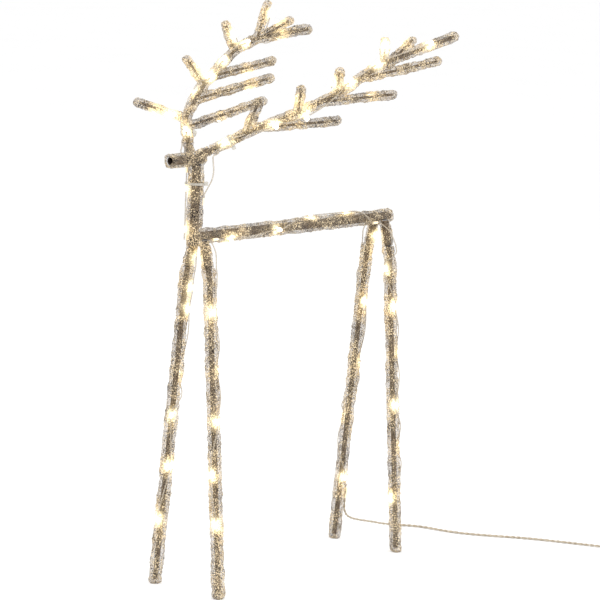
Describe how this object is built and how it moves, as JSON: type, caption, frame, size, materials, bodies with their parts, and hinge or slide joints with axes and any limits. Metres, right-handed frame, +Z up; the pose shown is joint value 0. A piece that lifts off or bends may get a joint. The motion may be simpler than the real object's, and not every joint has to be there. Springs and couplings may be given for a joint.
{
  "type": "light up yard reindeer",
  "caption": "Standing outdoor reindeer figure: tube body and plug-in legs and antlers coated in clear ice plastic, wound with a string of small warm lamps.",
  "frame": {"origin": "on the ground, in the middle of the bounding box of everything but the lead", "axes": "+Z up, +X from nose to tail, -Y the deer's left side"},
  "size_m": [0.7216, 0.3739, 0.6455],
  "materials": {
    "brown_metal": "satin dark brown paint",
    "ice": "lumpy crackled translucent plastic, lit from the outside by the lamps",
    "lamp": "frosted warm white lamp, lit",
    "sleeve": "clear heat shrink, slightly milky",
    "wire": "clear twin insulation over fine copper",
    "tie": "natural nylon cable tie",
    "lead": "clear twisted twin cable",
    "plug": "natural moulded plastic",
    "pins": "turned pins"
  },
  "bodies": {
    "body": {"spine_tube": "brown_metal", "neck_tube": "brown_metal", "head_tube": "brown_metal", "antler_sockets": "brown_metal", "front_leg_sockets": "brown_metal", "rear_leg_sockets": "brown_metal", "spine_ice": "ice", "neck_ice": "ice", "head_ice": "ice", "body_bulbs": "lamp", "body_sleeves": "sleeve", "body_wire": "wire", "neck_tie": "tie", "left_antler_slack_wire": "wire", "right_antler_slack_wire": "wire", "front_left_slack_wire": "wire", "front_right_slack_wire": "wire", "rear_left_slack_wire": "wire", "rear_right_slack_wire": "wire"},
    "left_antler": {"left_beam_rod": "brown_metal", "left_tine_rods": "brown_metal", "left_beam_ice": "ice", "left_tine_ice": "ice", "left_antler_bulbs": "lamp", "left_antler_sleeves": "sleeve", "left_antler_wire": "wire", "left_antler_tie": "tie"},
    "right_antler": {"right_beam_rod": "brown_metal", "right_tine_rods": "brown_metal", "right_beam_ice": "ice", "right_tine_ice": "ice", "right_antler_bulbs": "lamp", "right_antler_sleeves": "sleeve", "right_antler_wire": "wire", "right_antler_tie": "tie"},
    "front_left_leg": {"front_left_leg_rod": "brown_metal", "front_left_leg_ice": "ice", "front_left_bulbs": "lamp", "front_left_sleeves": "sleeve", "front_left_wire": "wire"},
    "front_right_leg": {"front_right_leg_rod": "brown_metal", "front_right_leg_ice": "ice", "front_right_bulbs": "lamp", "front_right_sleeves": "sleeve", "front_right_wire": "wire"},
    "rear_left_leg": {"rear_left_leg_rod": "brown_metal", "rear_left_leg_ice": "ice", "rear_left_bulbs": "lamp", "rear_left_sleeves": "sleeve", "rear_left_wire": "wire"},
    "rear_right_leg": {"rear_right_leg_rod": "brown_metal", "rear_right_leg_ice": "ice", "rear_right_bulbs": "lamp", "rear_right_sleeves": "sleeve", "rear_right_wire": "wire", "lead_cord": "lead", "lead_coil": "lead", "coil_tie": "tie", "lead_plug": "plug", "lead_pins": "pins"}
  },
  "joints": [
    {"name": "front_left_leg_pull_out", "type": "slide", "parent": "body", "child": "front_left_leg", "axis": [0, -0.2311, -0.9729], "range_m": [0, 0.026]},
    {"name": "front_right_leg_pull_out", "type": "slide", "parent": "body", "child": "front_right_leg", "axis": [0, 0.2311, -0.9729], "range_m": [0, 0.026]},
    {"name": "rear_left_leg_pull_out", "type": "slide", "parent": "body", "child": "rear_left_leg", "axis": [0, -0.2311, -0.9729], "range_m": [0, 0.026]},
    {"name": "rear_right_leg_pull_out", "type": "slide", "parent": "body", "child": "rear_right_leg", "axis": [0, 0.2311, -0.9729], "range_m": [0, 0.026]},
    {"name": "left_antler_pull_out", "type": "slide", "parent": "body", "child": "left_antler", "axis": [0.5836, -0.6608, 0.472], "range_m": [0, 0.012]},
    {"name": "right_antler_pull_out", "type": "slide", "parent": "body", "child": "right_antler", "axis": [0.5421, 0.6138, 0.5739], "range_m": [0, 0.012]}
  ]
}
